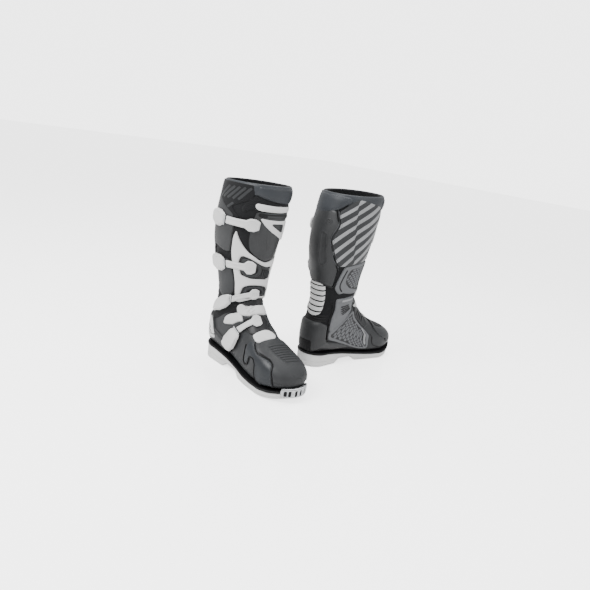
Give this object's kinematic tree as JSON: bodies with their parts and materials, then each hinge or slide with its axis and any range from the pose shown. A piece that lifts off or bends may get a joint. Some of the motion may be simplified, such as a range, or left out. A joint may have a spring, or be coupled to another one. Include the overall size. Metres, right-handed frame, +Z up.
{
  "type": "motocross boots",
  "caption": "Pair of tall motocross boots with flexing ankle cuffs, hinged strap buckles, shin and calf guards, a flat rubber sole and a steel toe plate.",
  "frame": {"origin": "on the floor, at the middle of the pair's bounding box", "axes": "+Z up; the left boot's toe points along +X and the right boot's toe along -Y"},
  "size_m": [0.5522, 0.3288, 0.44],
  "materials": {
    "upper_plastic": "satin moulded",
    "panel_plastic": "satin moulded",
    "textile": "woven, matt",
    "collar_skin": "smooth synthetic",
    "stripe_panel": "satin with light stripes",
    "grip_rubber": "textured, matt",
    "white_plastic": "satin white",
    "white_flex": "soft ribbed white",
    "sole_rubber": "matt white",
    "welt_rubber": "matt black",
    "toe_steel": "bright",
    "shank_steel": "plain",
    "lining": "knitted mesh"
  },
  "bodies": {
    "right_foot": {"right_outsole": "sole_rubber", "right_welt": "welt_rubber", "right_shank": "shank_steel", "right_toe_plate": "toe_steel", "right_insole": "lining", "right_foot_shell": "upper_plastic", "right_toe_cap": "upper_plastic", "right_heel_counter": "panel_plastic", "right_grip_foot": "grip_rubber", "right_grip_ankle": "grip_rubber", "right_front_flex": "white_flex", "right_achilles_bellows": "white_flex", "right_ankle_sleeve": "textile", "right_liner": "lining"},
    "right_cuff": {"right_calf_shell": "textile", "right_collar": "collar_skin", "right_shin_plate": "upper_plastic", "right_shin_vent": "white_plastic", "right_front_frame": "white_plastic", "right_calf_plate": "panel_plastic", "right_medial_panel": "stripe_panel", "right_grip_upper": "grip_rubber"},
    "right_strap_1": {"right_strap_1": "white_plastic"},
    "right_lever_1": {"right_lever_1": "white_plastic"},
    "right_strap_2": {"right_strap_2": "white_plastic"},
    "right_lever_2": {"right_lever_2": "white_plastic"},
    "right_strap_3": {"right_strap_3": "white_plastic"},
    "right_lever_3": {"right_lever_3": "white_plastic"},
    "right_strap_4": {"right_strap_4": "white_plastic"},
    "right_lever_4": {"right_lever_4": "white_plastic"},
    "left_foot": {"left_outsole": "sole_rubber", "left_welt": "welt_rubber", "left_shank": "shank_steel", "left_toe_plate": "toe_steel", "left_insole": "lining", "left_foot_shell": "upper_plastic", "left_toe_cap": "upper_plastic", "left_heel_counter": "panel_plastic", "left_grip_foot": "grip_rubber", "left_grip_ankle": "grip_rubber", "left_front_flex": "white_flex", "left_achilles_bellows": "white_flex", "left_ankle_sleeve": "textile", "left_liner": "lining"},
    "left_cuff": {"left_calf_shell": "textile", "left_collar": "collar_skin", "left_shin_plate": "upper_plastic", "left_shin_vent": "white_plastic", "left_front_frame": "white_plastic", "left_calf_plate": "panel_plastic", "left_medial_panel": "stripe_panel", "left_grip_upper": "grip_rubber"},
    "left_strap_1": {"left_strap_1": "white_plastic"},
    "left_lever_1": {"left_lever_1": "white_plastic"},
    "left_strap_2": {"left_strap_2": "white_plastic"},
    "left_lever_2": {"left_lever_2": "white_plastic"},
    "left_strap_3": {"left_strap_3": "white_plastic"},
    "left_lever_3": {"left_lever_3": "white_plastic"},
    "left_strap_4": {"left_strap_4": "white_plastic"},
    "left_lever_4": {"left_lever_4": "white_plastic"}
  },
  "joints": [
    {"name": "left_boot_lift", "type": "slide", "parent": "right_foot", "child": "left_foot", "axis": [0, 0, 1], "range_m": [0, 0.5]},
    {"name": "right_ankle_flex", "type": "hinge", "parent": "right_foot", "child": "right_cuff", "pos_m": [-0.19935, 0.07598, 0.125], "axis": [1, 0, 0], "range_deg": [-8, 18], "stiffness_Nm_per_rad": 60, "deforming": ["right_front_flex", "right_achilles_bellows", "right_ankle_sleeve", "right_grip_ankle", "right_liner"]},
    {"name": "right_strap_1_swing", "type": "hinge", "parent": "right_cuff", "child": "right_strap_1", "pos_m": [-0.23499, -0.00282, 0.3509], "axis": [-0.0303, -0.1576, 0.987], "range_deg": [0, 60]},
    {"name": "right_lever_1_open", "type": "hinge", "parent": "right_strap_1", "child": "right_lever_1", "pos_m": [-0.2746, 0.07474, 0.35082], "axis": [-0.0514, -0.1141, 0.9921], "range_deg": [0, 110]},
    {"name": "right_strap_2_swing", "type": "hinge", "parent": "right_cuff", "child": "right_strap_2", "pos_m": [-0.22174, 0.0074, 0.25389], "axis": [-0.0832, -0.1372, 0.987], "range_deg": [0, 60]},
    {"name": "right_lever_2_open", "type": "hinge", "parent": "right_strap_2", "child": "right_lever_2", "pos_m": [-0.26292, 0.07049, 0.25094], "axis": [-0.1794, 0.0546, 0.9823], "range_deg": [0, 110]},
    {"name": "right_strap_3_swing", "type": "hinge", "parent": "right_cuff", "child": "right_strap_3", "pos_m": [-0.20294, 0.00615, 0.19477], "axis": [-0.0196, 0.154, 0.9879], "range_deg": [0, 25]},
    {"name": "right_lever_3_open", "type": "hinge", "parent": "right_strap_3", "child": "right_lever_3", "pos_m": [-0.24953, 0.05028, 0.17149], "axis": [-0.0889, -0.1419, 0.9859], "range_deg": [0, 70]},
    {"name": "right_strap_4_swing", "type": "hinge", "parent": "right_foot", "child": "right_strap_4", "pos_m": [-0.20818, -0.02036, 0.14186], "axis": [0.0376, 0.6518, 0.7575], "range_deg": [0, 8]},
    {"name": "right_lever_4_open", "type": "hinge", "parent": "right_strap_4", "child": "right_lever_4", "pos_m": [-0.24723, 0.01492, 0.10759], "axis": [0.074, 0.9163, 0.3936], "range_deg": [0, 60]},
    {"name": "left_ankle_flex", "type": "hinge", "parent": "left_foot", "child": "left_cuff", "pos_m": [0.03565, -0.00102, 0.125], "axis": [0, 1, 0], "range_deg": [-8, 18], "stiffness_Nm_per_rad": 60, "deforming": ["left_front_flex", "left_achilles_bellows", "left_ankle_sleeve", "left_grip_ankle", "left_liner"]},
    {"name": "left_strap_1_swing", "type": "hinge", "parent": "left_cuff", "child": "left_strap_1", "pos_m": [0.11445, 0.03462, 0.3509], "axis": [-0.1576, -0.0303, -0.987], "range_deg": [0, 60]},
    {"name": "left_lever_1_open", "type": "hinge", "parent": "left_strap_1", "child": "left_lever_1", "pos_m": [0.0369, 0.07423, 0.35082], "axis": [-0.1141, -0.0514, -0.9921], "range_deg": [0, 110]},
    {"name": "left_strap_2_swing", "type": "hinge", "parent": "left_cuff", "child": "left_strap_2", "pos_m": [0.10424, 0.02137, 0.25389], "axis": [-0.1372, -0.0832, -0.987], "range_deg": [0, 60]},
    {"name": "left_lever_2_open", "type": "hinge", "parent": "left_strap_2", "child": "left_lever_2", "pos_m": [0.04114, 0.06255, 0.25094], "axis": [0.0546, -0.1794, -0.9823], "range_deg": [0, 110]},
    {"name": "left_strap_3_swing", "type": "hinge", "parent": "left_cuff", "child": "left_strap_3", "pos_m": [0.10549, 0.00257, 0.19477], "axis": [0.154, -0.0196, -0.9879], "range_deg": [0, 25]},
    {"name": "left_lever_3_open", "type": "hinge", "parent": "left_strap_3", "child": "left_lever_3", "pos_m": [0.06135, 0.04917, 0.17149], "axis": [-0.1419, -0.0889, -0.9859], "range_deg": [0, 70]},
    {"name": "left_strap_4_swing", "type": "hinge", "parent": "left_foot", "child": "left_strap_4", "pos_m": [0.13199, 0.00781, 0.14186], "axis": [0.6518, 0.0376, -0.7575], "range_deg": [0, 8]},
    {"name": "left_lever_4_open", "type": "hinge", "parent": "left_strap_4", "child": "left_lever_4", "pos_m": [0.09671, 0.04686, 0.10759], "axis": [0.9163, 0.074, -0.3936], "range_deg": [0, 60]}
  ]
}
